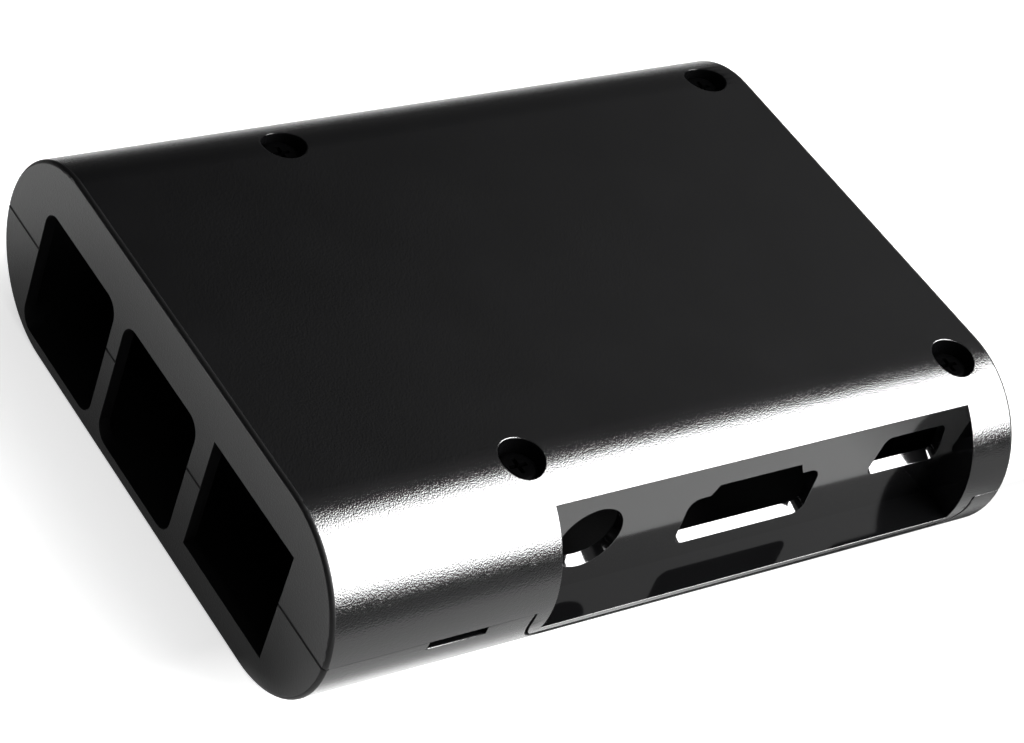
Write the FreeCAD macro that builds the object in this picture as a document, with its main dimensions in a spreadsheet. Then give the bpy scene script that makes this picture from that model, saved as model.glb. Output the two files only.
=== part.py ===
import FreeCAD, Part

import math
import os
import Sketcher

# A two-piece moulded case for a small single board computer, in millimetres.
# It lies on its cover with the screw face up: Z = 0 is the cover's outer face,
# and +Z points to the base shell's outer face. +X runs from the end with the
# tall jacks to the memory card end, and the port bay faces -Y.
# A depth is measured from the screw face down into the case.

DIMENSIONS = [
    ("board_length", 85.0, "board along X"),
    ("board_width", 56.0, "board along Y"),
    ("board_thick", 1.4, "board thickness"),
    ("board_depth", 4.7, "screw face to the board"),
    ("hole_edge", 3.5, "board's edges to its nearest holes"),
    ("hole_pitch", 58.0, "board hole pitch along X"),
    ("jack_end_gap", 1.95, "board to the jack end's outer face"),
    ("card_end_gap", 1.55, "board to the card end's outer face"),
    ("side_reach", 6.65, "board to the outermost line of a round side"),
    ("case_height", 23.7, "outer thickness, twice the radius of each round side"),
    ("seam_depth", 12.2, "screw face to the seam"),
    ("shell_wall", 1.6, "wall of the two faces and the round sides"),
    ("end_wall", 1.3, "wall of the two flat ends"),
    ("edge_round", 0.5, "round along the edge of each flat end"),
    ("head_radius", 2.25, "screw head"),
    ("head_height", 1.7, "screw head"),
    ("head_bevel", 0.5, "bevel round the top of the screw head"),
    ("recess_width", 0.6, "arm of the cross recess"),
    ("recess_length", 2.6, "cross recess tip to tip"),
    ("recess_depth", 1.0, "cross recess"),
    ("shank_radius", 1.25, "screw shank"),
    ("shank_length", 9.5, "screw below its head"),
    ("tip_length", 0.8, "taper at the screw's tip"),
    ("well_gap", 0.25, "radial gap between a screw head and its well"),
    ("hole_gap", 0.2, "radial gap between a screw and the hole in its well's floor"),
    ("bore_gap", 0.02, "radial gap between a screw and its bore"),
    ("bore_reserve", 2.5, "bore beyond the screw's tip"),
    ("boss_wall", 1.4, "wall of the boss round each screw well"),
    ("post_wall", 1.6, "wall of the cover's screw posts"),
    ("foot_spread", 0.7, "cone at the foot of a post, beyond the post"),
    ("foot_height", 4.0, "top of that cone above the cover's outer face"),
    ("bay_place", 4.55, "card end of the board to the port bay"),
    ("bay_length", 55.4, "port bay along X"),
    ("bay_depth", 15.5, "depth of the bay's floor"),
    ("bay_gap", 0.2, "board's edge to the bay's wall"),
    ("bay_wall", 1.6, "bay's wall, which holds the ports"),
    ("frame_side", 1.9, "end walls of the bay"),
    ("frame_floor", 2.0, "floor of the bay"),
    ("frame_round", 3.6, "lower corners of the bay's frame"),
    ("frame_gap", 0.3, "gap between the frame and the cover's notch"),
    ("audio_place", 53.5, "card end of the board to the audio jack"),
    ("audio_depth", 8.72, "depth of the audio jack's axis"),
    ("audio_radius", 4.03, "audio hole"),
    ("video_place", 32.2, "card end of the board to the video socket"),
    ("video_width", 17.6, "video hole"),
    ("video_step", 2.6, "each shoulder of the video hole"),
    ("video_slope", 0.7, "run of each slanted side above a shoulder"),
    ("video_near", 5.5, "depth of the video hole's near edge"),
    ("video_shoulder", 6.9, "depth of the video hole's shoulders"),
    ("video_sill", 13.4, "depth of the video hole's sill"),
    ("video_round", 1.4, "wide corners of the video hole"),
    ("power_place", 10.7, "card end of the board to the power socket"),
    ("power_width", 10.5, "power hole at its sill"),
    ("power_slope", 0.95, "run of each slanted side of the power hole"),
    ("power_near", 4.7, "depth of the power hole's near edge"),
    ("power_sill", 10.05, "depth of the power hole's sill"),
    ("power_round", 1.1, "corners of the power hole"),
    ("network_place", 10.4, "port side of the board to the network jack"),
    ("network_width", 16.1, "network jack opening"),
    ("network_near", 5.8, "depth of its near edge"),
    ("network_far", 19.9, "depth of its far edge"),
    ("jack_place", 29.3, "port side of the board to the first stacked jack"),
    ("jack_pitch", 17.9, "stacked jack pitch"),
    ("jack_width", 15.7, "stacked jack opening"),
    ("jack_near", 6.5, "depth of its near edge"),
    ("jack_round", 2.0, "corners of a stacked jack opening"),
    ("card_width", 14.0, "memory card slot"),
    ("card_near", 1.9, "depth of the card slot's near edge"),
    ("pry_place", 12.2, "jack end's outer face to the pry slot"),
    ("pry_length", 7.0, "pry slot"),
    ("pry_height", 1.05, "pry slot, from the seam towards the cover"),
    ("rib_length", 14.0, "locating rib along its wall"),
    ("rib_thick", 1.2, "locating rib"),
    ("rib_rise", 1.6, "locating rib above the seam"),
    ("rib_root", 3.5, "locating rib below the seam"),
    ("rib_gap", 0.15, "rib to the base shell's inner wall"),
    ("rib_pitch", 40.0, "pitch of the two ribs on the plain side"),
]

doc = FreeCAD.newDocument("board_case")
sheet = doc.addObject("Spreadsheet::Sheet", "dims")
for row, (alias, value, meaning) in enumerate(DIMENSIONS, start=1):
    sheet.set("A%d" % row, meaning)
    sheet.set("B%d" % row, str(value))
    sheet.setAlias("B%d" % row, alias)
doc.recompute()

# A cutter runs past the surface that it opens by this much.
OVERRUN = 1.0

# Expressions for the places and sizes that several pieces share.
LENGTH = "(dims.jack_end_gap + dims.board_length + dims.card_end_gap)"
WIDTH = "(dims.board_width + 2 * dims.side_reach)"
END = f"{LENGTH} / 2"
SIDE = f"{WIDTH} / 2"
TOP = "dims.case_height"
SEAM = f"{TOP} - dims.seam_depth"
CARD_EDGE = f"{END} - dims.card_end_gap"
PORT_EDGE = "dims.board_width / 2"
FAR_HOLE = f"{CARD_EDGE} - dims.hole_edge"
NEAR_HOLE = f"{FAR_HOLE} - dims.hole_pitch"
HOLE_SIDE = f"{PORT_EDGE} - dims.hole_edge"
CORNERS = [(x, y) for x in (NEAR_HOLE, FAR_HOLE) for y in (f"-({HOLE_SIDE})", HOLE_SIDE)]
BOSS_FACE = f"{TOP} - dims.board_depth"
WELL_FLOOR = f"{BOSS_FACE} + dims.shell_wall"
POST_TOP = f"{BOSS_FACE} - dims.board_thick"
BORE_BOTTOM = f"{WELL_FLOOR} - dims.shank_length - dims.bore_reserve"
WELL_RADIUS = "dims.head_radius + dims.well_gap"
BORE_RADIUS = "dims.shank_radius + dims.bore_gap"
POST_RADIUS = f"{BORE_RADIUS} + dims.post_wall"
BAY_RIGHT = f"{CARD_EDGE} - dims.bay_place"
BAY_LEFT = f"{BAY_RIGHT} - dims.bay_length"
BAY_INSIDE = f"{PORT_EDGE} + dims.bay_gap"
BAY_FRONT = f"{BAY_INSIDE} + dims.bay_wall"
BAY_FLOOR = f"{TOP} - dims.bay_depth"
FRAME_LEFT = f"{BAY_LEFT} - dims.frame_side"
FRAME_RIGHT = f"{BAY_RIGHT} + dims.frame_side"
FRAME_BOTTOM = f"{BAY_FLOOR} - dims.frame_floor"


def bind(item, **expressions):
    """Binds properties to expressions; a double underscore stands for a dot."""
    for path, expression in expressions.items():
        item.setExpression(path.replace("__", "."), expression)
    return item


def value_of(expression):
    """The number that an expression has now, to draw a sketch near its place."""
    return float(sheet.evalExpression(expression))


def box(name, low, high):
    """A box between two corners, each given as three expressions."""
    item = doc.addObject("Part::Box", name)
    for size, axis, start, stop in zip(("Length", "Width", "Height"), "xyz", low, high):
        item.setExpression(size, f"({stop}) - ({start})")
        item.setExpression("Placement.Base." + axis, start)
    return item


def cylinder(name, place, low, high, radius):
    """An upright cylinder between two heights."""
    item = doc.addObject("Part::Cylinder", name)
    return bind(item, Radius=radius, Height=f"({high}) - ({low})", Placement__Base__x=place[0],
                Placement__Base__y=place[1], Placement__Base__z=low)


def at_corners(name, low, high, radius):
    """Four upright cylinders on the board's hole pattern."""
    return [cylinder(f"{name}_{number}", place, low, high, radius)
            for number, place in enumerate(CORNERS, start=1)]


def fuse(name, shapes):
    item = doc.addObject("Part::MultiFuse", name)
    item.Shapes = shapes
    item.Refine = True
    return item


def combine(kind, name, base, tool):
    """A Part::Cut or a Part::Common of two shapes."""
    item = doc.addObject(kind, name)
    item.Base = base
    item.Tool = tool
    item.Refine = True
    return item


def new_sketch(body, role, offset=None):
    """A sketch on one of the body's own origin planes, moved out by an offset."""
    sketch = body.newObject("Sketcher::SketchObject", body.Name + "_sketch")
    plane = [item for item in body.Origin.OriginFeatures if item.Role == role][0]
    sketch.AttachmentSupport = [(plane, "")]
    sketch.MapMode = "FlatFace"
    if offset:
        sketch.setExpression("AttachmentOffset.Base.z", offset)
    return sketch


def pin_point(sketch, geometry, point, name, across, up):
    """Ties a point of a sketch to two expressions, measured from its origin."""
    for axis, kind, expression in (("x", "DistanceX", across), ("y", "DistanceY", up)):
        place = value_of(expression)
        number = sketch.addConstraint(Sketcher.Constraint(kind, -1, 1, geometry, point, place))
        sketch.renameConstraint(number, f"{name}_{axis}")
        sketch.setExpression(f"Constraints.{name}_{axis}", expression)


def outline(body, role, points, offset=None):
    """A closed sketch of straight lines through points given as expressions."""
    sketch = new_sketch(body, role, offset)
    corners = [FreeCAD.Vector(value_of(across), value_of(up), 0) for across, up in points]
    following = corners[1:] + corners[:1]
    for start, stop in zip(corners, following):
        sketch.addGeometry(Part.LineSegment(start, stop), False)
    for number in range(len(points)):
        after = (number + 1) % len(points)
        sketch.addConstraint(Sketcher.Constraint("Coincident", number, 2, after, 1))
    for number, (across, up) in enumerate(points):
        pin_point(sketch, number, 1, f"corner{number}", across, up)
    return sketch


def stadium(body, width, height):
    """A round-ended outline across the case, centred on its thickness."""
    sketch = new_sketch(body, "YZ_Plane")
    middle = f"{TOP} / 2"
    reach = f"(({width}) - ({height})) / 2"
    radius = value_of(f"({height}) / 2")
    left = FreeCAD.Vector(-value_of(reach), value_of(middle), 0)
    right = FreeCAD.Vector(value_of(reach), value_of(middle), 0)
    rise = FreeCAD.Vector(0, radius, 0)
    normal = FreeCAD.Vector(0, 0, 1)
    quarter = math.pi / 2
    sketch.addGeometry(Part.LineSegment(right + rise, left + rise), False)
    sketch.addGeometry(Part.ArcOfCircle(Part.Circle(left, normal, radius), quarter, 3 * quarter), False)
    sketch.addGeometry(Part.LineSegment(left - rise, right - rise), False)
    sketch.addGeometry(Part.ArcOfCircle(Part.Circle(right, normal, radius), -quarter, quarter), False)
    for number in range(4):
        sketch.addConstraint(Sketcher.Constraint("Tangent", number, 2, (number + 1) % 4, 1))
    pin_point(sketch, 1, 3, "left", f"-{reach}", middle)
    pin_point(sketch, 3, 3, "right", reach, middle)
    number = sketch.addConstraint(Sketcher.Constraint("Radius", 1, radius))
    sketch.renameConstraint(number, "radius")
    sketch.setExpression("Constraints.radius", f"({height}) / 2")
    return sketch


def pad(body, sketch, length, both_ways=False):
    """Extrudes a sketch along its normal, or half of the length each way."""
    item = body.newObject("PartDesign::Pad", body.Name + "_pad")
    item.Profile = sketch
    item.Midplane = both_ways
    item.setExpression("Length", length)
    doc.recompute()


def round_edges(body, radius, wanted):
    """Fillets the edges of a body that a test picks by their end points."""
    base = body.Tip
    names = [f"Edge{number}" for number, edge in enumerate(base.Shape.Edges, start=1)
             if wanted([vertex.Point for vertex in edge.Vertexes])]
    item = body.newObject("PartDesign::Fillet", body.Name + "_round")
    item.Base = (base, names)
    item.setExpression("Radius", radius)
    doc.recompute()


def near(first, second):
    return abs(first - second) < 0.001


def along_x(points):
    """True for a straight edge that runs along X."""
    return near(points[0].y, points[-1].y) and near(points[0].z, points[-1].z)


def along_y(points):
    """True for a straight edge that runs along Y."""
    return near(points[0].x, points[-1].x) and near(points[0].z, points[-1].z)


def rectangle(left, right, bottom, top):
    return [(left, bottom), (right, bottom), (right, top), (left, top)]


# Outer form of the closed case, a bar with round sides and softened ends

envelope = doc.addObject("PartDesign::Body", "envelope")
pad(envelope, stadium(envelope, WIDTH, TOP), LENGTH, both_ways=True)
end_plane = value_of(END)
round_edges(envelope, "dims.edge_round",
            lambda points: all(near(abs(point.x), end_plane) for point in points))

# Hollow inside of the closed case

hollow = doc.addObject("PartDesign::Body", "hollow")
inner_outline = stadium(hollow, f"{WIDTH} - 2 * dims.shell_wall", f"{TOP} - 2 * dims.shell_wall")
pad(hollow, inner_outline, f"{LENGTH} - 2 * dims.end_wall", both_ways=True)

# Openings of the jack end, cut through both shells


def end_opening(name, centre, width, bottom, near_depth):
    """A cutter through the jack end, placed from the board's port side."""
    body = doc.addObject("PartDesign::Body", name)
    points = rectangle(f"{centre} - {PORT_EDGE} - {width} / 2", f"{centre} - {PORT_EDGE} + {width} / 2",
                       bottom, f"{TOP} - {near_depth}")
    sketch = outline(body, "YZ_Plane", points, f"-({END}) - {OVERRUN}")
    pad(body, sketch, f"dims.end_wall + {2 * OVERRUN}")
    return body


end_openings = [end_opening("network_opening", "dims.network_place", "dims.network_width",
                            f"{TOP} - dims.network_far", "dims.network_near")]
# The stacked jacks' openings run down to the cover's inner face.
for number in range(2):
    jack_opening = end_opening(f"jack_opening_{number + 1}", f"dims.jack_place + {number} * dims.jack_pitch",
                               "dims.jack_width", "dims.shell_wall", "dims.jack_near")
    round_edges(jack_opening, "dims.jack_round", along_x)
    end_openings.append(jack_opening)

# Port holes, cut through the bay's wall


def port_hole(name, points):
    """A cutter through the bay's wall, its outline given in X and Z."""
    body = doc.addObject("PartDesign::Body", name)
    sketch = outline(body, "XZ_Plane", points, f"{BAY_INSIDE} - {OVERRUN}")
    pad(body, sketch, f"dims.bay_wall + {2 * OVERRUN}")
    return body


video_centre = f"{CARD_EDGE} - dims.video_place"
video_side = [("dims.video_width / 2", "dims.video_sill"),
              ("dims.video_width / 2", "dims.video_shoulder"),
              ("dims.video_width / 2 - dims.video_step", "dims.video_shoulder"),
              ("dims.video_width / 2 - dims.video_step - dims.video_slope", "dims.video_near")]
video_points = [(f"{video_centre} + {reach}", f"{TOP} - {depth}") for reach, depth in video_side]
video_points += [(f"{video_centre} - ({reach})", f"{TOP} - {depth}") for reach, depth in reversed(video_side)]
video_hole = port_hole("video_hole", video_points)
video_middle = value_of(video_centre)
video_reach = value_of("dims.video_width / 2")
round_edges(video_hole, "dims.video_round",
            lambda points: along_y(points) and near(abs(points[0].x - video_middle), video_reach))

power_centre = f"{CARD_EDGE} - dims.power_place"
power_points = [(f"{power_centre} - dims.power_width / 2", f"{TOP} - dims.power_sill"),
                (f"{power_centre} + dims.power_width / 2", f"{TOP} - dims.power_sill"),
                (f"{power_centre} + dims.power_width / 2 - dims.power_slope", f"{TOP} - dims.power_near"),
                (f"{power_centre} - dims.power_width / 2 + dims.power_slope", f"{TOP} - dims.power_near")]
power_hole = port_hole("power_hole", power_points)
round_edges(power_hole, "dims.power_round", along_y)

audio_hole = doc.addObject("Part::Cylinder", "audio_hole")
audio_hole.Placement.Rotation = FreeCAD.Rotation(FreeCAD.Vector(1, 0, 0), 90)
bind(audio_hole, Radius="dims.audio_radius", Height=f"dims.bay_wall + {2 * OVERRUN}",
     Placement__Base__x=f"{CARD_EDGE} - dims.audio_place",
     Placement__Base__y=f"{OVERRUN} - ({BAY_INSIDE})",
     Placement__Base__z=f"{TOP} - dims.audio_depth")

# Port bay: the frame's block, the open space in it and the cover's notch


def bay_prism(name, left, right, bottom, inside, corner_round=None):
    """A block on the port side, from a plane inside the case to beyond it."""
    body = doc.addObject("PartDesign::Body", name)
    sketch = outline(body, "XZ_Plane", rectangle(left, right, bottom, f"{TOP} + {OVERRUN}"), inside)
    pad(body, sketch, f"{SIDE} - ({inside}) + {OVERRUN}")
    if corner_round:
        level = value_of(bottom)
        round_edges(body, corner_round, lambda points: along_y(points) and near(points[0].z, level))
    return body


frame_block = bay_prism("frame_block", FRAME_LEFT, FRAME_RIGHT, FRAME_BOTTOM, BAY_INSIDE, "dims.frame_round")
bay_space = bay_prism("bay_space", BAY_LEFT, BAY_RIGHT, BAY_FLOOR, BAY_FRONT)
notch = bay_prism("notch", f"{FRAME_LEFT} - dims.frame_gap", f"{FRAME_RIGHT} + dims.frame_gap",
                  f"{FRAME_BOTTOM} - dims.frame_gap", BAY_INSIDE, "dims.frame_round + dims.frame_gap")

# Base shell: the screw face with its wells and bosses, and the port bay

plan_low = (f"-({END}) - {OVERRUN}", f"-({SIDE}) - {OVERRUN}")
plan_high = (f"{END} + {OVERRUN}", f"{SIDE} + {OVERRUN}")
above_seam = box("above_seam", plan_low + (SEAM,), plan_high + (f"{TOP} + {OVERRUN}",))
upper_form = combine("Part::Common", "upper_form", envelope, above_seam)
frame_form = combine("Part::Common", "frame_form", envelope, frame_block)
base_block = fuse("base_block", [upper_form, frame_form])

bosses = at_corners("boss", BOSS_FACE, TOP, f"{WELL_RADIUS} + dims.boss_wall")
base_hollow = combine("Part::Cut", "base_hollow", hollow, fuse("base_solids", bosses + [frame_block]))

wells = at_corners("well", WELL_FLOOR, f"{TOP} + {OVERRUN}", WELL_RADIUS)
holes = at_corners("hole", f"{BOSS_FACE} - {OVERRUN}", TOP, "dims.shank_radius + dims.hole_gap")
card_slot = box("card_slot",
                (f"{END} - dims.end_wall - {OVERRUN}", "-dims.card_width / 2", BOSS_FACE),
                (f"{END} + {OVERRUN}", "dims.card_width / 2", f"{TOP} - dims.card_near"))
base_cutters = fuse("base_cutters", end_openings + wells + holes
                    + [base_hollow, bay_space, video_hole, power_hole, audio_hole, card_slot])
base_shell = combine("Part::Cut", "base_shell", base_block, base_cutters)

# Top cover: the screw posts, the locating ribs, the notch and the pry slot

below_seam = box("below_seam", plan_low + (f"-{OVERRUN}",), plan_high + (SEAM,))
lower_form = combine("Part::Common", "lower_form", envelope, below_seam)

posts = at_corners("post", "0", POST_TOP, POST_RADIUS)
feet = []
for number, place in enumerate(CORNERS, start=1):
    foot = doc.addObject("Part::Cone", f"foot_{number}")
    bind(foot, Radius1=f"{POST_RADIUS} + dims.foot_spread", Radius2=POST_RADIUS, Height="dims.foot_height",
         Placement__Base__x=place[0], Placement__Base__y=place[1])
    feet.append(foot)
cover_hollow = combine("Part::Cut", "cover_hollow", hollow, fuse("cover_solids", posts + feet))
cover_walls = combine("Part::Cut", "cover_walls", lower_form, cover_hollow)
post_ends = at_corners("post_end", f"{SEAM} - {OVERRUN}", POST_TOP, POST_RADIUS)


def locating_rib(name, along, wall, length_axis):
    """A rib that rises inside the base shell, rooted in the cover's wall."""
    inner_face = f"{wall} - dims.rib_gap - dims.rib_thick"
    heights = (f"{SEAM} - dims.rib_root", f"{SEAM} + dims.rib_rise")
    pieces = []
    for part_name, outer_face, top in (("finger", f"{wall} - dims.rib_gap", heights[1]),
                                       ("root", f"{wall} + dims.rib_gap", SEAM)):
        span = (f"{along} - dims.rib_length / 2", f"{along} + dims.rib_length / 2")
        depth = (inner_face, outer_face)
        across, up = (span, depth) if length_axis == "x" else (depth, span)
        pieces.append(box(f"{name}_{part_name}", (across[0], up[0], heights[0]), (across[1], up[1], top)))
    return pieces


ribs = locating_rib("side_rib_1", "-dims.rib_pitch / 2", f"{SIDE} - dims.shell_wall", "x")
ribs += locating_rib("side_rib_2", "dims.rib_pitch / 2", f"{SIDE} - dims.shell_wall", "x")
ribs += locating_rib("end_rib", "0", f"{END} - dims.end_wall", "y")
cover_block = fuse("cover_block", [cover_walls] + post_ends + ribs)

bores = at_corners("bore", BORE_BOTTOM, f"{POST_TOP} + {OVERRUN}", BORE_RADIUS)
pry_slot = box("pry_slot",
               (f"dims.pry_place - {END}", plan_low[1], f"{SEAM} - dims.pry_height"),
               (f"dims.pry_place + dims.pry_length - {END}", f"dims.shell_wall - {SIDE} + {OVERRUN}",
                f"{SEAM} + {OVERRUN}"))
cover_cutters = fuse("cover_cutters", end_openings + bores + [notch, pry_slot])
top_cover = combine("Part::Cut", "top_cover", cover_block, cover_cutters)

# Case screw: a bevelled head with a cross recess on a plain shank, head side up

screw = doc.addObject("PartDesign::Body", "screw")
shank_tip = "-dims.shank_length"
screw_points = [("0", shank_tip),
                ("dims.shank_radius - dims.tip_length / 2", shank_tip),
                ("dims.shank_radius", f"{shank_tip} + dims.tip_length"),
                ("dims.shank_radius", "0"),
                ("dims.head_radius", "0"),
                ("dims.head_radius", "dims.head_height - dims.head_bevel"),
                ("dims.head_radius - dims.head_bevel", "dims.head_height"),
                ("0", "dims.head_height")]
screw_sketch = outline(screw, "XZ_Plane", screw_points)
screw_turn = screw.newObject("PartDesign::Revolution", "screw_turn")
screw_turn.Profile = screw_sketch
screw_turn.ReferenceAxis = (screw_sketch, ["V_Axis"])
screw_turn.Angle = 360
doc.recompute()

arm = "dims.recess_width / 2"
reach = "dims.recess_length / 2"
quadrant = [(reach, f"-{arm}"), (reach, arm), (arm, arm)]
recess_points = []
for turn in range(4):
    recess_points += quadrant
    quadrant = [(f"-({up})", across) for across, up in quadrant]
recess_sketch = outline(screw, "XY_Plane", recess_points, "dims.head_height")
recess = screw.newObject("PartDesign::Pocket", "recess")
recess.Profile = recess_sketch
recess.setExpression("Length", "dims.recess_depth")
doc.recompute()

screw_places = []
for number, place in enumerate(CORNERS, start=1):
    copy = doc.addObject("App::Link", f"screw_{number}")
    copy.LinkedObject = screw
    bind(copy, Placement__Base__x=place[0], Placement__Base__y=place[1], Placement__Base__z=WELL_FLOOR)
    screw_places.append(copy)
case_screws = doc.addObject("Part::Compound", "case_screws")
case_screws.Links = screw_places

doc.recompute()

# Check of every object, then one file for each piece

for item in doc.Objects:
    if "Invalid" in item.State or "Error" in item.State:
        raise RuntimeError(f"{item.Name} did not compute: {item.State}")
if near(recess.Shape.Volume, recess.BaseFeature.Shape.Volume):
    raise RuntimeError("the cross recess cuts nothing")

os.makedirs("parts", exist_ok=True)
for piece, solid_count in ((base_shell, 1), (top_cover, 1), (case_screws, 4)):
    piece.Label = piece.Name
    shape = piece.Shape
    if shape.isNull() or not shape.isValid() or len(shape.Solids) != solid_count:
        raise RuntimeError(f"{piece.Label} is not {solid_count} valid solid(s)")
    shape.exportStep(f"parts/{piece.Label}.step")
    print(piece.Label, "volume", round(shape.Volume, 1), "box", shape.BoundBox)
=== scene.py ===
from math import cos, radians, sin

import bmesh
import bpy
from bpy.props import FloatProperty, FloatVectorProperty, PointerProperty
from mathutils import Matrix, Vector


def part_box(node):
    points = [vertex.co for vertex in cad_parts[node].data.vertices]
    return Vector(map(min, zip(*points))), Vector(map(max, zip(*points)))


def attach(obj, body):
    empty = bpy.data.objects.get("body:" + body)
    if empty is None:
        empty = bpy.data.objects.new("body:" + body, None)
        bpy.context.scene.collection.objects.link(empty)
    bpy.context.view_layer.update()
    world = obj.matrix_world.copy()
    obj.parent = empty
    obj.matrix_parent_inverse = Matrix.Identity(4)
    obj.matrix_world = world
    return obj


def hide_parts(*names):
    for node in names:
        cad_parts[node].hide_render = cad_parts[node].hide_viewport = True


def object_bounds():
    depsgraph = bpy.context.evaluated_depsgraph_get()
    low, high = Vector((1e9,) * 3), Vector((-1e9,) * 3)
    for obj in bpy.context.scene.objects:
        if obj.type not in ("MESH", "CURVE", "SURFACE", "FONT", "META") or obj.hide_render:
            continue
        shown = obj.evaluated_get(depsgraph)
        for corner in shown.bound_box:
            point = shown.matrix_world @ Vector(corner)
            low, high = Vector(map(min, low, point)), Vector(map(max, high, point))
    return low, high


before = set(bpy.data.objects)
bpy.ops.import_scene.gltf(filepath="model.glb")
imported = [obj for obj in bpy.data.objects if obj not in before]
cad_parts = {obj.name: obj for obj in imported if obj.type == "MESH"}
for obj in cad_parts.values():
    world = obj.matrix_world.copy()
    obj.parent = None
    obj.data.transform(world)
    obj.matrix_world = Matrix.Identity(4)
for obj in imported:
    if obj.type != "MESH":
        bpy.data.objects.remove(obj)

bl_info = {
    "name": "Single Board Computer Case",
    "version": (1, 0, 0),
    "blender": (4, 5, 0),
    "location": "View3D > Sidebar > Board Case",
    "description": "Dresses a two-piece moulded case for a small single board computer",
    "category": "Object",
}

MM = 0.001
cad_low, cad_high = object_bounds()
screws_low, screws_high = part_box("case_screws")

# The round sides of the case have the radius of half its height, and their axes lie this far from its middle.
SIDE_RADIUS = (cad_high.z - cad_low.z) / 2
SIDE_AXIS = cad_high.y - SIDE_RADIUS
END_ROUND = 0.5 * MM
SEAM_HEIGHT = 11.5 * MM

# The port bay, as the base shell has it: its ends, its floor and the two faces of its upright wall.
BAY_LEFT, BAY_RIGHT = -17.25 * MM, 38.15 * MM
BAY_FLOOR = 8.2 * MM
WALL_FRONT, WALL_BACK = -29.8 * MM, -28.2 * MM

# The frame round the bay that reaches down into the cover, with the gap about it.
FRAME_LEFT, FRAME_RIGHT = -19.6 * MM, 40.5 * MM
FRAME_FOOT, FRAME_TOP = 5.8 * MM, 21.6 * MM

# The three port openings in the bay's wall: the middle, half the width, the sill and the height that its round
# reaches. All of them end below the same height.
PORTS = (
    (-10.8 * MM, 4.1 * MM, 10.95 * MM, 4.03 * MM),
    (10.5 * MM, 8.9 * MM, 10.3 * MM, 1.4 * MM),
    (32.0 * MM, 5.3 * MM, 13.65 * MM, 1.1 * MM),
)
PORTS_TOP = 19.5 * MM

# The short slot in the cover's lip, for a blade that opens the case.
PRY_LEFT, PRY_RIGHT = -32.2 * MM, -24.9 * MM
PRY_FLOOR = 10.3 * MM

# The screw wells lie within this distance of the screws, and their floors a little above this height.
WELL_REACH = 2.6 * MM
WELL_FLOOR = 20.5 * MM


class CaseSizes(bpy.types.PropertyGroup):
    """Small shapes that the moulded shells get on top of their main form."""

    well_round: FloatProperty(
        name="Well Round", description="Radius round the mouth of each screw well",
        default=0.15 * MM, min=0.05 * MM, max=0.6 * MM, unit="LENGTH", precision=5)
    notch_round: FloatProperty(
        name="Notch Round", description="Radius along the notch of the cover that takes the bay's frame",
        default=0.22 * MM, min=0.02 * MM, max=0.5 * MM, unit="LENGTH", precision=5)
    hole_round: FloatProperty(
        name="Hole Round", description="Radius round the port and jack openings",
        default=0.06 * MM, min=0.02 * MM, max=0.3 * MM, unit="LENGTH", precision=5)
    frame_foot: FloatProperty(
        name="Frame Foot", description="Height at which the foot of the bay's frame ends above the gap",
        default=7.12 * MM, min=6.3 * MM, max=7.5 * MM, unit="LENGTH", precision=5)
    rim_round: FloatProperty(
        name="Rim Round", description="Radius along the rims of the bay and of the end openings",
        default=0.07 * MM, min=0.02 * MM, max=0.3 * MM, unit="LENGTH", precision=5)
    side_seam: FloatProperty(
        name="Side Seam", description="Radius of the two lips along the round sides",
        default=0.035 * MM, min=0.02 * MM, max=0.3 * MM, unit="LENGTH", precision=5)
    end_seam: FloatProperty(
        name="End Seam", description="Radius of the two lips across the flat ends",
        default=0.18 * MM, min=0.02 * MM, max=0.3 * MM, unit="LENGTH", precision=5)
    sill_back: FloatProperty(
        name="Sill Back", description="Chamfer behind each port opening, where its sill ends",
        default=0.45 * MM, min=0.1 * MM, max=0.8 * MM, unit="LENGTH", precision=5)
    sill_fall: FloatProperty(
        name="Sill Fall", description="How much lower the front of each port's sill lies than its back",
        default=0.66 * MM, min=0.0, max=0.9 * MM, unit="LENGTH", precision=5)


class CaseFinish(bpy.types.PropertyGroup):
    """Colours and textures of the moulded plastic."""

    plastic: FloatVectorProperty(
        name="Plastic", description="Colour of the black plastic",
        default=(0.0042, 0.0042, 0.0045), subtype="COLOR", min=0.0, max=1.0, size=3)
    skin_roughness: FloatProperty(
        name="Skin Roughness", description="Roughness of the satin outer skin",
        default=0.145, min=0.05, max=1.0, subtype="FACTOR")
    bay_roughness: FloatProperty(
        name="Bay Roughness", description="Roughness of the polished port bay",
        default=0.09, min=0.02, max=1.0, subtype="FACTOR")
    inside_roughness: FloatProperty(
        name="Inside Roughness", description="Roughness of the plain inner faces",
        default=0.5, min=0.05, max=1.0, subtype="FACTOR")
    grain: FloatProperty(
        name="Grain", description="Depth of the fine spark texture on the outer skin",
        default=0.54, min=0.0, max=1.0, subtype="FACTOR")
    # The screws' colour is partly their black oxide and partly painted shade, so that the heads stay dark in
    # their wells.
    steel: FloatVectorProperty(
        name="Screw Steel", description="Colour of the blackened screw steel",
        default=(0.0012, 0.0012, 0.0013), subtype="COLOR", min=0.0, max=1.0, size=3)


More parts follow.
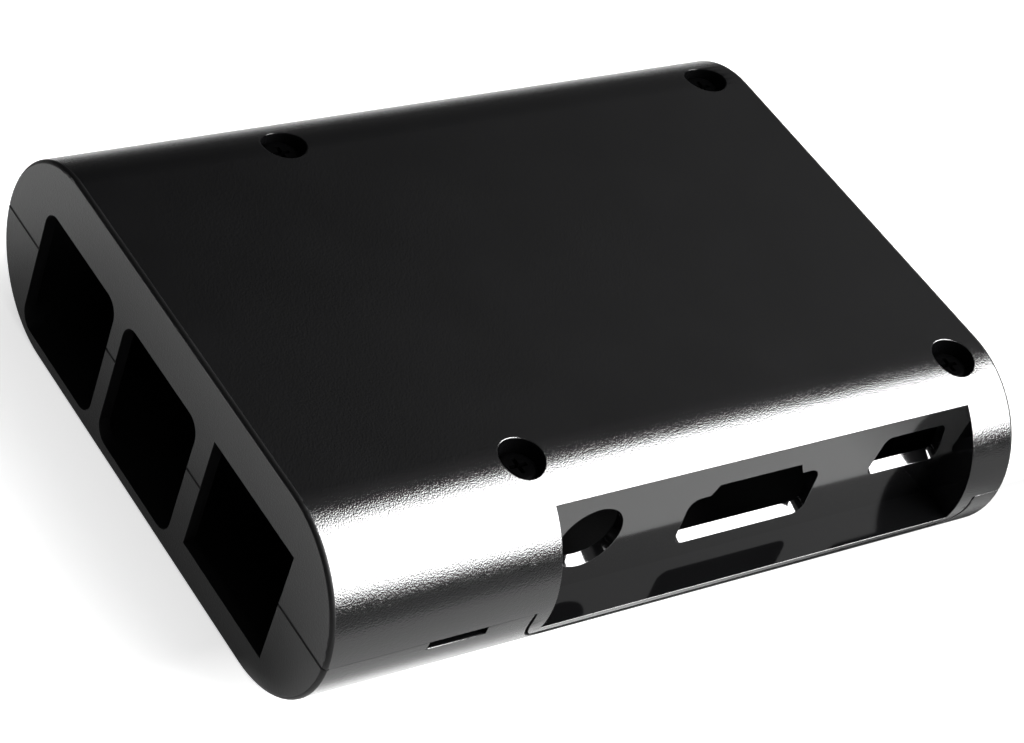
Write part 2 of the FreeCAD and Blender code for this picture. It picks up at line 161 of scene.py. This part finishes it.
class ScrewSizes(bpy.types.PropertyGroup):
    """Sizes of the four case screws."""

    head_radius: FloatProperty(
        name="Head Radius", description="Radius of the screw head",
        default=2.25 * MM, min=1.0 * MM, max=2.4 * MM, unit="LENGTH", precision=5)
    head_height: FloatProperty(
        name="Head Height", description="Height of the screw head",
        default=1.7 * MM, min=0.8 * MM, max=2.5 * MM, unit="LENGTH", precision=5)
    head_dome: FloatProperty(
        name="Head Dome", description="Radius round the upper rim of the screw head",
        default=0.75 * MM, min=0.1 * MM, max=1.2 * MM, unit="LENGTH", precision=5)
    core_radius: FloatProperty(
        name="Core Radius", description="Radius of the shank",
        default=1.0 * MM, min=0.5 * MM, max=1.2 * MM, unit="LENGTH", precision=5)
    point_length: FloatProperty(
        name="Point Length", description="Length of the tapered point at the end of the shank",
        default=0.8 * MM, min=0.1 * MM, max=2.0 * MM, unit="LENGTH", precision=5)
    slot_width: FloatProperty(
        name="Slot Width", description="Width of each arm of the cross recess",
        default=0.6 * MM, min=0.2 * MM, max=1.0 * MM, unit="LENGTH", precision=5)
    slot_length: FloatProperty(
        name="Slot Length", description="Length of each arm of the cross recess",
        default=2.6 * MM, min=1.0 * MM, max=3.5 * MM, unit="LENGTH", precision=5)
    slot_depth: FloatProperty(
        name="Slot Depth", description="Depth of the cross recess",
        default=1.0 * MM, min=0.2 * MM, max=1.4 * MM, unit="LENGTH", precision=5)


class StageSettings(bpy.types.PropertyGroup):
    """The photographer's table, lamps and camera."""

    view_azimuth: FloatProperty(
        name="View Azimuth", description="Compass angle of the camera round the case",
        default=radians(-136.192), subtype="ANGLE")
    view_elevation: FloatProperty(
        name="View Elevation", description="Angle of the camera above the table",
        default=radians(38.907), subtype="ANGLE")
    view_roll: FloatProperty(
        name="View Roll", description="Turn of the camera about its own axis",
        default=radians(21.184), subtype="ANGLE")
    view_distance: FloatProperty(
        name="View Distance", description="Distance of the camera from what it looks at",
        default=0.33377, min=0.1, unit="LENGTH", precision=5)
    view_target: FloatVectorProperty(
        name="View Target", description="Place that the camera looks at",
        default=(-2.4916 * MM, -3.4237 * MM, 11.85 * MM),
        subtype="TRANSLATION", unit="LENGTH", size=3, precision=5)
    lens: FloatProperty(
        name="Lens", description="Focal length of the camera in millimetres on a 36 mm sensor",
        default=109.604, min=20.0)
    box_azimuth: FloatProperty(
        name="Box Azimuth", description="Compass angle of the soft box round the case",
        default=radians(-28), subtype="ANGLE")
    box_elevation: FloatProperty(
        name="Box Elevation", description="Angle of the soft box above the table",
        default=radians(39), subtype="ANGLE")
    box_distance: FloatProperty(
        name="Box Distance", description="Distance of the soft box from the case",
        default=0.70, min=0.3, unit="LENGTH")
    box_width: FloatProperty(
        name="Box Width", description="Width of the soft box",
        default=0.743, min=0.1, unit="LENGTH")
    box_height: FloatProperty(
        name="Box Height", description="Height of the soft box",
        default=0.62, min=0.1, unit="LENGTH")
    box_aside: FloatProperty(
        name="Box Aside", description="How far the soft box is slid to its own left",
        default=0.128, unit="LENGTH")
    box_raise: FloatProperty(
        name="Box Raise", description="How far the soft box is slid upwards along its own face",
        default=0.04, unit="LENGTH")
    key_light: FloatProperty(
        name="Key Light", description="Power of the large soft lamp beside the case in watts",
        default=9.5, min=0.0)
    key_gleam: FloatProperty(
        name="Key Gleam", description="Power of the lamp's bright face as the gloss shows it in watts",
        default=40.0, min=0.0)
    fill_light: FloatProperty(
        name="Fill Light", description="Power of the wide lamp overhead that softens the shadows in watts",
        default=4.0, min=0.0)
    fill_width: FloatProperty(
        name="Fill Width", description="Width of the lamp overhead, which hangs a metre above the table",
        default=1.2, min=0.1, unit="LENGTH")
    room: FloatProperty(
        name="Room", description="Grey level of the dim room round the table",
        default=0.03, min=0.0, max=1.0, subtype="FACTOR")
    table: FloatVectorProperty(
        name="Table", description="Colour of the white table",
        default=(0.85, 0.85, 0.85), subtype="COLOR", min=0.0, max=1.0, size=3)


def pick_only(piece):
    """Make one object the only selected one, and active."""
    bpy.ops.object.select_all(action="DESELECT")
    piece.select_set(True)
    bpy.context.view_layer.objects.active = piece


def start_editing(piece):
    """Enter edit mode on one object with nothing selected."""
    pick_only(piece)
    bpy.ops.object.mode_set(mode="EDIT")
    bpy.ops.mesh.select_mode(type="VERT")
    bpy.ops.mesh.select_all(action="DESELECT")


def stop_editing():
    bpy.ops.object.mode_set(mode="OBJECT")


def select_edges(piece, wanted, least=radians(42)):
    """Select the sharp edges of a piece in edit mode that lie where they are wanted."""
    bpy.ops.mesh.select_mode(type="EDGE")
    bpy.ops.mesh.select_all(action="DESELECT")
    mesh = bmesh.from_edit_mesh(piece.data)
    found = 0
    for edge in mesh.edges:
        if len(edge.link_faces) == 2 and edge.calc_face_angle() > least:
            ends = [vert.co for vert in edge.verts]
            if all(wanted(end) for end in ends) and wanted((ends[0] + ends[1]) / 2):
                edge.select_set(True)
                found += 1
    if not found:
        raise RuntimeError("No edge lies where one was expected on " + piece.name)
    bmesh.update_edit_mesh(piece.data)


def select_faces(piece, wanted):
    """Select the faces of a piece in edit mode whose middle and normal are wanted."""
    bpy.ops.mesh.select_mode(type="FACE")
    bpy.ops.mesh.select_all(action="DESELECT")
    mesh = bmesh.from_edit_mesh(piece.data)
    for face in mesh.faces:
        face.select_set(wanted(face.calc_center_median(), face.normal))
    bmesh.update_edit_mesh(piece.data)


def select_points(piece, wanted):
    """Select the vertices of a piece in edit mode that lie where they are wanted."""
    bpy.ops.mesh.select_mode(type="VERT")
    bpy.ops.mesh.select_all(action="DESELECT")
    mesh = bmesh.from_edit_mesh(piece.data)
    for vert in mesh.verts:
        vert.select_set(wanted(vert.co))
    mesh.select_flush(True)
    bmesh.update_edit_mesh(piece.data)


def round_off(radius, segments):
    """Bevel the selected edges of a piece in edit mode."""
    bpy.ops.mesh.bevel(
        offset=radius, segments=segments, affect="EDGES", clamp_overlap=False, loop_slide=False)


def near(value, goal, slack=0.02 * MM):
    return abs(value - goal) < slack


def copy_of_shell(node, name):
    """A merged copy of a CAD shell with its flat facets joined, ready to be softened."""
    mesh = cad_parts[node].data.copy()
    mesh.name = name
    mesh.materials.clear()
    piece = bpy.data.objects.new(name, mesh)
    bpy.context.scene.collection.objects.link(piece)
    start_editing(piece)
    bpy.ops.mesh.select_all(action="SELECT")
    bpy.ops.mesh.remove_doubles(threshold=0.001 * MM)
    bpy.ops.mesh.customdata_custom_splitnormals_clear()
    bpy.ops.mesh.select_all(action="SELECT")
    bpy.ops.mesh.dissolve_limited(angle_limit=radians(0.4), use_dissolve_boundaries=False)
    return piece


def cut_away(piece, low, high):
    """Cut a block with the given corners away from a piece in edit mode."""
    stop_editing()
    bpy.ops.object.select_all(action="DESELECT")
    bpy.ops.mesh.primitive_cube_add(size=1.0, location=[(a + b) / 2 for a, b in zip(low, high)])
    block = bpy.context.active_object
    block.scale = [b - a for a, b in zip(low, high)]
    pick_only(block)
    bpy.ops.object.transform_apply(location=True, rotation=True, scale=True)
    pick_only(piece)
    cut = piece.modifiers.new("Cut", "BOOLEAN")
    cut.operation = "DIFFERENCE"
    cut.solver = "EXACT"
    cut.object = block
    bpy.ops.object.modifier_apply(modifier=cut.name)
    pick_only(block)
    bpy.ops.object.delete()
    start_editing(piece)


def give_materials(piece, *materials):
    for material in materials:
        piece.data.materials.append(material)


def assign_faces(piece, slot, wanted):
    """Give the wanted faces of a piece in edit mode the material in one of its slots."""
    select_faces(piece, wanted)
    piece.active_material_index = slot
    bpy.ops.object.material_slot_assign()


def finish_shell(piece, node):
    """Clear slivers, even out the shading and hand the shell over in place of its CAD node."""
    bpy.ops.mesh.select_all(action="SELECT")
    bpy.ops.mesh.dissolve_degenerate(threshold=0.0005 * MM)
    stop_editing()
    pick_only(piece)
    bpy.ops.object.shade_smooth_by_angle(angle=radians(38))
    even = piece.modifiers.new("Even Shading", "WEIGHTED_NORMAL")
    even.weight = 100
    even.keep_sharp = True
    bpy.ops.object.modifier_apply(modifier=even.name)
    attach(piece, "root")
    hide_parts(node)


def new_material(name):
    """A material with an empty node tree and its output, and that tree."""
    material = bpy.data.materials.new(name)
    material.use_nodes = True
    material.node_tree.nodes.clear()
    material.node_tree.nodes.new("ShaderNodeOutputMaterial")
    return material, material.node_tree


def feed(tree, socket, source):
    """Link a socket to another one, or give it a plain value."""
    if isinstance(source, bpy.types.NodeSocket):
        tree.links.new(source, socket)
    else:
        socket.default_value = source


def add_math(tree, operation, *sources):
    node = tree.nodes.new("ShaderNodeMath")
    node.operation = operation
    for socket, source in zip(node.inputs, sources):
        feed(tree, socket, source)
    return node.outputs["Value"]


def add_ramp(tree, source, begin, end, low=0.0, high=1.0):
    """A value that goes from low to high while the source goes from begin to end."""
    node = tree.nodes.new("ShaderNodeMapRange")
    names = ("Value", "From Min", "From Max", "To Min", "To Max")
    for name, given in zip(names, (source, begin, end, low, high)):
        feed(tree, node.inputs[name], given)
    return node.outputs["Result"]


def add_tint(tree, factor, first, second):
    """A mix of two colours, each a plain one or a socket."""
    node = tree.nodes.new("ShaderNodeMix")
    node.data_type = "RGBA"
    for name, given in (("Factor", factor), ("A", first), ("B", second)):
        feed(tree, node.inputs[name], given)
    return node.outputs["Result"]


def add_noise(tree, place, scale, detail):
    node = tree.nodes.new("ShaderNodeTexNoise")
    node.inputs["Scale"].default_value = scale
    node.inputs["Detail"].default_value = detail
    tree.links.new(place, node.inputs["Vector"])
    return node.outputs["Fac"]


def add_relief(tree, height, strength, depth):
    node = tree.nodes.new("ShaderNodeBump")
    node.inputs["Strength"].default_value = strength
    node.inputs["Distance"].default_value = depth
    tree.links.new(height, node.inputs["Height"])
    return node.outputs["Normal"]


def add_surface(tree, inputs):
    """A Principled shader on the output, with each named input fed by a value or a socket."""
    shader = tree.nodes.new("ShaderNodeBsdfPrincipled")
    for name, given in inputs.items():
        feed(tree, shader.inputs[name], given)
    tree.links.new(shader.outputs["BSDF"], tree.nodes["Material Output"].inputs["Surface"])


def shades(colour, dark, light):
    """A darker and a lighter shade of one colour."""
    return (*[dark * part for part in colour], 1.0), (*[light * part for part in colour], 1.0)


def object_place(tree):
    return tree.nodes.new("ShaderNodeTexCoord").outputs["Object"]


def moulded_plastic(name, colour, roughness, spread, grain_size, grain_depth, gloss):
    """Black moulded plastic: a slightly cloudy colour and roughness, and a fine texture from the mould."""
    tree = new_material(name)[1]
    place = object_place(tree)
    clouds = add_noise(tree, place, scale=90.0, detail=3.0)
    grain = add_noise(tree, place, scale=1.0 / grain_size, detail=2.0)
    add_surface(tree, {
        "IOR": 1.47,
        "Specular IOR Level": gloss,
        "Base Color": add_tint(tree, clouds, *shades(colour, 0.8, 1.25)),
        "Roughness": add_ramp(tree, clouds, 0.3, 0.7, roughness - spread, roughness + spread),
        "Normal": add_relief(tree, grain, grain_depth, 0.05 * MM),
    })


def blackened_steel(name, colour):
    """Screw steel with a thin black oxide, a little worn and uneven. Its colour is partly the real black oxide
    and partly painted shade, which keeps the heads dark in their wells.
    """
    material, tree = new_material(name)
    wear = add_noise(tree, object_place(tree), scale=1400.0, detail=4.0)
    add_surface(tree, {
        "Metallic": 0.0,
        "Specular IOR Level": 0.004,
        "Base Color": add_tint(tree, wear, *shades(colour, 0.6, 1.7)),
        "Roughness": add_ramp(tree, wear, 0.0, 1.0, 0.35, 0.45),
        "Normal": add_relief(tree, wear, 0.2, 0.01 * MM),
    })
    return material


def case_materials(finish):
    """The finishes of the moulded plastic, made once for both shells."""
    finishes = (
        # name, roughness, spread of the roughness, size and depth of the grain, gloss
        ("satin_skin", finish.skin_roughness, 0.015, 0.17 * MM, finish.grain, 0.8),
        ("plain_inside", finish.inside_roughness, 0.05, 0.3 * MM, 0.3, 0.25),
        ("polished_wall", finish.bay_roughness, 0.01, 1.5 * MM, 0.03, 1.0),
        ("dark_gloss", finish.bay_roughness, 0.01, 1.5 * MM, 0.03, 0.05),
    )
    for name, *look in finishes:
        if name not in bpy.data.materials:
            moulded_plastic(name, finish.plastic, *look)
    return [bpy.data.materials[name] for name, *look in finishes]


def at_end(point):
    """Is the point at either end, as far in as the small round along its edge?"""
    return abs(point.x) > cad_high.x - END_ROUND - 0.05 * MM


def on_skin(point, slack=0.06 * MM):
    """Is the point on the outer skin: the flat faces, the ends, their small rounds or the round sides?"""
    if point.x < cad_low.x + slack or point.x > cad_high.x - slack:
        return True
    if at_end(point):
        slack += END_ROUND
    if point.z < cad_low.z + slack or point.z > cad_high.z - slack:
        return True
    across = abs(point.y) - SIDE_AXIS
    if across < 0:
        return False
    return abs((across ** 2 + (point.z - SIDE_RADIUS) ** 2) ** 0.5 - SIDE_RADIUS) < slack


def at_seam(point):
    """Is the point at the height where the shells meet?"""
    return near(point.z, SEAM_HEIGHT)


def at_bay_frame(point):
    """Is the point on the near side, where the frame of the bay reaches into the cover?"""
    if at_seam(point) and not BAY_LEFT - 0.1 * MM < point.x < BAY_RIGHT + 0.1 * MM:
        return False
    return FRAME_LEFT < point.x < FRAME_RIGHT and point.y < 0 and FRAME_FOOT < point.z < FRAME_TOP


def on_end(point):
    """Is the point on the flat of either end?"""
    return near(abs(point.x), cad_high.x, 0.005 * MM) and abs(point.y) < SIDE_AXIS + 9 * MM


def at_pry_slot(point):
    """Is the point at the short slot in the cover's lip?"""
    return PRY_LEFT < point.x < PRY_RIGHT and point.y < 0 and point.z > PRY_FLOOR


def at_port(point):
    """Is the point at the rim of one of the three port openings?"""
    return any(abs(point.x - middle) < half + 0.1 * MM and sill - 0.4 * MM < point.z < PORTS_TOP
               for middle, half, sill, rise in PORTS)


def is_plain(middle, normal):
    """Is a face one of the plain ones: inside, or on the small round along an end's edge?"""
    return not on_skin(middle) or at_end(middle) and 0.04 < abs(normal.x) < 0.97


def soften_seam(piece, sizes):
    """Round the lip of a shell: more across the ends, less along the sides."""
    for offset, across_end in ((sizes.end_seam, True), (sizes.side_seam, False)):
        select_edges(piece, lambda point: on_skin(point) and at_seam(point) and at_end(point) == across_end)
        round_off(offset, 2)


def screw_places():
    """Middle of each screw, from the reach of the CAD screws."""
    head = bpy.context.scene.screw_sizes.head_radius
    return [(x, y) for x in (screws_low.x + head, screws_high.x - head)
            for y in (screws_low.y + head, screws_high.y - head)]


def in_a_well(point):
    """Is the point inside one of the screw wells, seen from above?"""
    return any((point.x - x) ** 2 + (point.y - y) ** 2 < WELL_REACH ** 2 for x, y in screw_places())


class CASE_OT_base_shell(bpy.types.Operator):
    """Make the base shell with its screw wells and port bay"""

    bl_idname = "case.base_shell"
    bl_label = "Base Shell"
    bl_options = {"REGISTER", "UNDO"}

    def execute(self, context):
        sizes = context.scene.case_sizes
        piece = copy_of_shell("base_shell", "base_shell_moulding")
        give_materials(piece, *case_materials(context.scene.case_finish))

        # The well mouths are rounded where they open into the screw face and into the round sides.
        select_edges(piece, lambda point: point.z > WELL_FLOOR + 2 * MM and on_skin(point) and in_a_well(point))
        round_off(sizes.well_round, 4)

        # The foot of the bay's frame ends a little higher, so that the gap under it shows.
        cut_away(piece, (FRAME_LEFT, cad_low.y - 1.5 * MM, FRAME_FOOT),
                 (FRAME_RIGHT, WALL_FRONT - 1.2 * MM, sizes.frame_foot))

        # Behind, each port opening has a chamfer, and its sill falls towards the front as the mould needs.
        select_edges(piece, lambda point: near(point.y, WALL_BACK) and at_port(point))
        round_off(sizes.sill_back, 1)
        for middle, half, sill, rise in PORTS:
            select_points(piece, lambda point: (
                near(point.y, WALL_BACK - sizes.sill_back) and abs(point.x - middle) < half
                and sill - 0.05 * MM < point.z < sill + rise + 0.01 * MM))
            bpy.ops.transform.resize(
                value=(1.0, 1.0, 1.0 - sizes.sill_fall / rise), center_override=(middle, WALL_BACK, sill + rise))

        # The seam's lip and the rims of the bay and of the end openings are softened.
        soften_seam(piece, sizes)
        select_edges(piece, lambda point: on_skin(point) and (at_bay_frame(point) or on_end(point)))
        round_off(sizes.rim_round, 2)
        select_edges(piece, lambda point: near(point.y, WALL_FRONT) and at_port(point))
        round_off(sizes.hole_round, 2)

        # The rounds may leave the screw face a hair uneven, so it is flattened.
        select_points(piece, lambda point: point.z > cad_high.z - 0.002 * MM)
        bpy.ops.transform.resize(value=(1.0, 1.0, 0.0), center_override=(0, 0, cad_high.z))

        # The inner faces are plain, the bay is polished, and its floor and the wells stay dark.
        assign_faces(piece, 1, is_plain)
        assign_faces(piece, 2, lambda middle, normal: (
            BAY_LEFT - 0.04 * MM < middle.x < BAY_RIGHT + 0.04 * MM and middle.y < WALL_BACK - 0.04 * MM
            and middle.z > BAY_FLOOR - 0.04 * MM and not on_skin(middle)))
        assign_faces(piece, 3, lambda middle, normal: (
            near(middle.z, BAY_FLOOR) and normal.z > 0.9 and middle.y < WALL_FRONT) or (
            middle.z > WELL_FLOOR and not on_skin(middle) and in_a_well(middle)))
        finish_shell(piece, "base_shell")
        return {"FINISHED"}


class CASE_OT_top_cover(bpy.types.Operator):
    """Make the cover with its screw posts"""

    bl_idname = "case.top_cover"
    bl_label = "Top Cover"
    bl_options = {"REGISTER", "UNDO"}

    def execute(self, context):
        sizes = context.scene.case_sizes
        piece = copy_of_shell("top_cover", "top_cover_moulding")
        give_materials(piece, *case_materials(context.scene.case_finish))

        # The notch for the bay's frame and the lower lip of the pry slot have the larger rounds.
        select_edges(piece, lambda point: on_skin(point) and (
            at_bay_frame(point) or at_pry_slot(point) and point.z < SEAM_HEIGHT - 0.9 * MM))
        round_off(sizes.notch_round, 3)
        soften_seam(piece, sizes)
        select_edges(piece, lambda point: on_skin(point) and on_end(point))
        round_off(sizes.rim_round, 2)

        # The inner faces are plain, and the slot is dark.
        assign_faces(piece, 1, is_plain)
        assign_faces(piece, 3, lambda middle, normal: at_pry_slot(middle) and not on_skin(middle))
        finish_shell(piece, "top_cover")
        return {"FINISHED"}


class CASE_OT_case_screws(bpy.types.Operator):
    """Make the four screws with their pan heads, cross recesses and plain shanks"""

    bl_idname = "case.case_screws"
    bl_label = "Case Screws"
    bl_options = {"REGISTER", "UNDO"}

    def execute(self, context):
        sizes = context.scene.screw_sizes
        steel = blackened_steel("blackened_steel", context.scene.case_finish.steel)
        top = screws_high.z
        under_head = top - sizes.head_height
        places = screw_places()
        x, y = places[0]

        bpy.ops.object.select_all(action="DESELECT")
        bpy.ops.mesh.primitive_cylinder_add(
            vertices=48, radius=sizes.head_radius, depth=sizes.head_height,
            location=(x, y, top - sizes.head_height / 2))
        screw = context.active_object
        screw.name = "case_screw_1"
        pick_only(screw)
        bpy.ops.object.transform_apply(location=True, rotation=True, scale=True)

        # The rim of the head is rounded into a shallow pan.
        start_editing(screw)
        select_edges(screw, lambda point: near(point.z, top))
        bpy.ops.mesh.bevel(offset=sizes.head_dome, segments=6, affect="EDGES", clamp_overlap=False)
        # The shank grows from the middle of the underside.
        select_faces(screw, lambda middle, normal: normal.z < -0.9)
        bpy.ops.mesh.inset(thickness=sizes.head_radius - sizes.core_radius, depth=0.0)
        bpy.ops.mesh.extrude_region_move(
            TRANSFORM_OT_translate={"value": (0, 0, screws_low.z + sizes.point_length - under_head)})
        bpy.ops.mesh.extrude_region_move(TRANSFORM_OT_translate={"value": (0, 0, -sizes.point_length)})
        bpy.ops.transform.resize(value=(0.35, 0.35, 1.0), center_override=(x, y, screws_low.z))
        stop_editing()

        # Two arms with sloping sides cut the cross recess.
        arms = []
        for turn in (0.0, radians(90)):
            bpy.ops.object.select_all(action="DESELECT")
            bpy.ops.mesh.primitive_cube_add(size=1.0, location=(x, y, top), rotation=(0, 0, turn))
            arm = context.active_object
            arm.scale = (sizes.slot_length, sizes.slot_width, 2 * sizes.slot_depth)
            bpy.ops.object.transform_apply(location=True, rotation=True, scale=True)
            start_editing(arm)
            select_points(arm, lambda point: point.z < top)
            bpy.ops.transform.resize(value=(0.6, 0.6, 1.0), center_override=(x, y, top))
            stop_editing()
            arms.append(arm)
        for arm in arms:
            pick_only(screw)
            cut = screw.modifiers.new("Cross Recess", "BOOLEAN")
            cut.operation = "DIFFERENCE"
            cut.solver = "EXACT"
            cut.object = arm
            bpy.ops.object.modifier_apply(modifier=cut.name)
        for arm in arms:
            pick_only(arm)
            bpy.ops.object.delete()

        pick_only(screw)
        bpy.ops.object.shade_smooth_by_angle(angle=radians(35))
        screw.data.materials.append(steel)
        screws = [screw]
        for number, (to_x, to_y) in enumerate(places[1:], start=2):
            copy = screw.copy()
            copy.data = screw.data.copy()
            copy.name = "case_screw_%d" % number
            context.scene.collection.objects.link(copy)
            copy.location = (to_x - x, to_y - y, 0)
            pick_only(copy)
            bpy.ops.object.transform_apply(location=True, rotation=True, scale=True)
            screws.append(copy)
        for piece in screws:
            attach(piece, "root")
            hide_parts("case_screws")
        return {"FINISHED"}


# The two lamps of the soft box hang this far apart, because a lamp hides another one in the very same place.
LAMP_GAP = 0.01


def direction(azimuth, elevation):
    """The way from the case that a compass angle and a height angle give."""
    return Vector((cos(elevation) * cos(azimuth), cos(elevation) * sin(azimuth), sin(elevation)))


class CASE_OT_stage(bpy.types.Operator):
    """Set the white table, the soft lamps, the dim room and the camera"""

    bl_idname = "case.stage"
    bl_label = "Stage"
    bl_options = {"REGISTER", "UNDO"}

    def execute(self, context):
        scene = context.scene
        settings = scene.stage_settings

        bpy.ops.object.select_all(action="DESELECT")
        bpy.ops.mesh.primitive_circle_add(vertices=64, radius=2.5, fill_type="NGON", location=(0, 0, -0.05 * MM))
        table = context.active_object
        table.name = "table"
        bpy.ops.object.transform_apply(location=True, rotation=True, scale=True)
        table.data.materials.append(self.table_material(settings.table))

        # Two lamps share the soft box: one lights the surfaces, the one just before it shows in their gloss.
        light = self.soft_box("key_light", settings, settings.key_light, settings.box_distance + LAMP_GAP)
        light.visible_glossy = False
        gleam = self.soft_box("key_gleam", settings, settings.key_gleam, settings.box_distance)
        gleam.visible_diffuse = False
        overhead = bpy.data.lights.new("fill_light", "AREA")
        overhead.size = settings.fill_width
        overhead.energy = settings.fill_light
        fill = bpy.data.objects.new("fill_light", overhead)
        scene.collection.objects.link(fill)
        fill.location = (0, 0, 1.0)
        fill.visible_camera = False
        fill.visible_glossy = False

        world = bpy.data.worlds.new("dim_room")
        world.use_nodes = True
        self.light_room(world, settings.room)
        scene.world = world
        scene.view_settings.view_transform = "Standard"

        camera_data = bpy.data.cameras.new("camera")
        camera_data.sensor_width = 36.0
        camera_data.lens = settings.lens
        camera_data.dof.use_dof = False
        camera = bpy.data.objects.new("camera", camera_data)
        scene.collection.objects.link(camera)
        back = direction(settings.view_azimuth, settings.view_elevation)
        camera.location = settings.view_target + back * settings.view_distance
        turn = back.to_track_quat("Z", "Y").to_matrix() @ Matrix.Rotation(settings.view_roll, 3, "Z")
        camera.rotation_euler = turn.to_euler()
        scene.camera = camera
        return {"FINISHED"}

    def soft_box(self, name, settings, power, distance):
        """A wide soft box beside the case, faced towards it and slid a little along its own face."""
        lamp = bpy.data.lights.new(name, "AREA")
        lamp.shape = "RECTANGLE"
        lamp.size, lamp.size_y = settings.box_width, settings.box_height
        lamp.energy = power
        box = bpy.data.objects.new(name, lamp)
        bpy.context.scene.collection.objects.link(box)
        away = direction(settings.box_azimuth, settings.box_elevation)
        side = Vector((0, 0, 1)).cross(away).normalized()
        box.location = away * distance - side * settings.box_aside + away.cross(side) * settings.box_raise
        box.location.z += SIDE_RADIUS
        box.rotation_euler = away.to_track_quat("Z", "Y").to_euler()
        box.visible_camera = False
        return box

    def light_room(self, world, grey):
        """A dark room that grows a little lighter overhead on the lamp's side."""
        tree = world.node_tree
        ground = tree.nodes["Background"]
        ground.inputs["Color"].default_value = (1.0, 1.0, 1.0, 1.0)
        way = tree.nodes.new("ShaderNodeTexCoord").outputs["Generated"]
        parts = tree.nodes.new("ShaderNodeSeparateXYZ")
        tree.links.new(way, parts.inputs["Vector"])
        lean = add_math(tree, "SUBTRACT", parts.outputs["X"], parts.outputs["Y"])
        over = add_math(tree, "MULTIPLY", lean, parts.outputs["Z"])
        tree.links.new(add_ramp(tree, over, -0.12, 0.12, grey * 0.2, grey * 7), ground.inputs["Strength"])

    def table_material(self, colour):
        """A white card on a dark bench: white to the eye and in gloss, and it still takes shadows. It has
        painted shade under the near side and past the right end, and a painted sheen under the near side.
        """
        material, tree = new_material("white_card")
        paint = tree.nodes.new("ShaderNodeBsdfDiffuse")
        glow = tree.nodes.new("ShaderNodeEmission")
        both = tree.nodes.new("ShaderNodeAddShader")
        tree.links.new(paint.outputs["BSDF"], both.inputs[0])
        tree.links.new(glow.outputs["Emission"], both.inputs[1])
        tree.links.new(both.outputs["Shader"], tree.nodes["Material Output"].inputs["Surface"])
        spot = tree.nodes.new("ShaderNodeSeparateXYZ")
        tree.links.new(object_place(tree), spot.inputs["Vector"])
        path = tree.nodes.new("ShaderNodeLightPath")

        def ramp(axis, begin, end):
            """From nothing to full between two places along an axis, in millimetres."""
            return add_ramp(tree, spot.outputs[axis], begin * MM, end * MM)

        def times(first, second):
            return add_math(tree, "MULTIPLY", first, second)

        # The card ends a hand's breadth from the case, and the bench round it is dark in every reflection.
        reach = []
        for axis, middle, half in (("X", 0.01, 0.14), ("Y", 0.004, 0.096)):
            off_middle = add_math(tree, "ABSOLUTE", add_math(tree, "SUBTRACT", spot.outputs[axis], middle))
            reach.append(add_ramp(tree, off_middle, half + 0.01, half - 0.01))
        on_card = times(*reach)
        card = add_tint(tree, on_card, (0.15, 0.15, 0.15, 1.0), (*colour, 1.0))

        # The card is painted greyer past the right end, as painted shade. Under the near side a painted sheen
        # makes it brighter to the left, and to the right it is painted dark, a painted shade that stands in for
        # the case's own shade.
        near_side = times(times(ramp("Y", -35.5, -33.0), ramp("Y", -22.0, -26.0)), ramp("X", -46.0, -42.0))
        past_end = times(ramp("X", 42.0, 58.0), ramp("Y", -24.0, -30.0))
        # Painted shade: past the right end the card's colour is greyed, which dims its reflection in the case.
        painted_end_shade = add_tint(tree, past_end, card, (0.35, 0.35, 0.35, 1.0))
        # Painted shade: under the near side the card's colour darkens towards the right.
        painted_shade = add_tint(tree, times(near_side, ramp("X", -30.0, 35.0)), painted_end_shade, (0.08, 0.08, 0.08, 1.0))
        tree.links.new(painted_shade, paint.inputs["Color"])
        # Painted sheen: a glow that only gloss sees, brighter towards the left under the near side.
        painted_sheen = times(times(near_side, ramp("X", 30.0, -35.0)), 1.2)

        # To the eye the card and the bench glow, so that both come out white. In gloss only the painted sheen
        # glows, a painted reflection.
        in_gloss = times(add_math(
            tree, "MAXIMUM", path.outputs["Is Glossy Ray"], path.outputs["Is Transmission Ray"]), on_card)
        backdrop = add_math(tree, "MULTIPLY_ADD", on_card, -0.35, 0.97)
        bright = add_math(tree, "MULTIPLY_ADD", ramp("Y", -20.0, -30.0), 0.4, backdrop)
        to_eye = times(path.outputs["Is Camera Ray"], bright)
        tree.links.new(add_math(tree, "MULTIPLY_ADD", in_gloss, painted_sheen, to_eye), glow.inputs["Strength"])
        return material


class CASE_PT_maker(bpy.types.Panel):
    """Panel that lists the pieces of the case"""

    bl_idname = "CASE_PT_maker"
    bl_label = "Board Case"
    bl_space_type = "VIEW_3D"
    bl_region_type = "UI"
    bl_category = "Board Case"

    def draw(self, context):
        layout = self.layout
        scene = context.scene
        for title, group, operators in (
                ("Shells", scene.case_sizes, ("case.base_shell", "case.top_cover")),
                ("Screws", scene.screw_sizes, ("case.case_screws",)),
                ("Finish", scene.case_finish, ()),
                ("Stage", scene.stage_settings, ("case.stage",))):
            box = layout.box()
            box.label(text=title)
            for name in group.__annotations__:
                box.prop(group, name)
            for operator in operators:
                box.operator(operator)


CLASSES = (CaseSizes, CaseFinish, ScrewSizes, StageSettings, CASE_OT_base_shell, CASE_OT_top_cover,
           CASE_OT_case_screws, CASE_OT_stage, CASE_PT_maker)
GROUPS = {"case_sizes": CaseSizes, "case_finish": CaseFinish, "screw_sizes": ScrewSizes,
          "stage_settings": StageSettings}


def register():
    for cls in CLASSES:
        bpy.utils.register_class(cls)
    for name, group in GROUPS.items():
        setattr(bpy.types.Scene, name, PointerProperty(type=group))


def unregister():
    for name in GROUPS:
        delattr(bpy.types.Scene, name)
    for cls in reversed(CLASSES):
        bpy.utils.unregister_class(cls)


def main():
    register()
    bpy.ops.case.base_shell()
    bpy.ops.case.top_cover()
    bpy.ops.case.case_screws()
    bpy.ops.case.stage()


if __name__ == "__main__":
    main()
